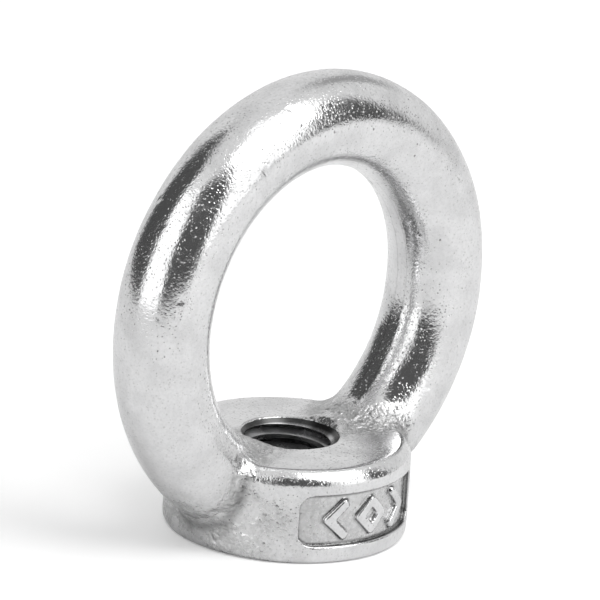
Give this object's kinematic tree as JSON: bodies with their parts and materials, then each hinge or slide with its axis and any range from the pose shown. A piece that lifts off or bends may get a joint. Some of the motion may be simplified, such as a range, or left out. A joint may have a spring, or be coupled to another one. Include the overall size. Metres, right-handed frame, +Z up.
{
  "type": "lifting eye nut",
  "caption": "Cast stainless lifting eye nut: a round ring on a short round collar with a threaded through hole and a flat seat.",
  "frame": {"origin": "centre of the seat face, on the thread axis", "axes": "+Z up along the thread axis from the seat to the ring's top, the ring standing in the XZ plane with its own axis along Y"},
  "size_m": [0.0392, 0.02, 0.0386],
  "materials": {
    "cast_steel": "tumbled and polished cast stainless steel, with fine pits and rougher metal in the corners",
    "cut_thread": "machined thread, with fine turning lines"
  },
  "bodies": {
    "root": {"eye_ring": "cast_steel", "collar": "cast_steel", "internal_thread": "cut_thread", "front_marks": "cast_steel", "back_marks": "cast_steel"}
  },
  "joints": []
}
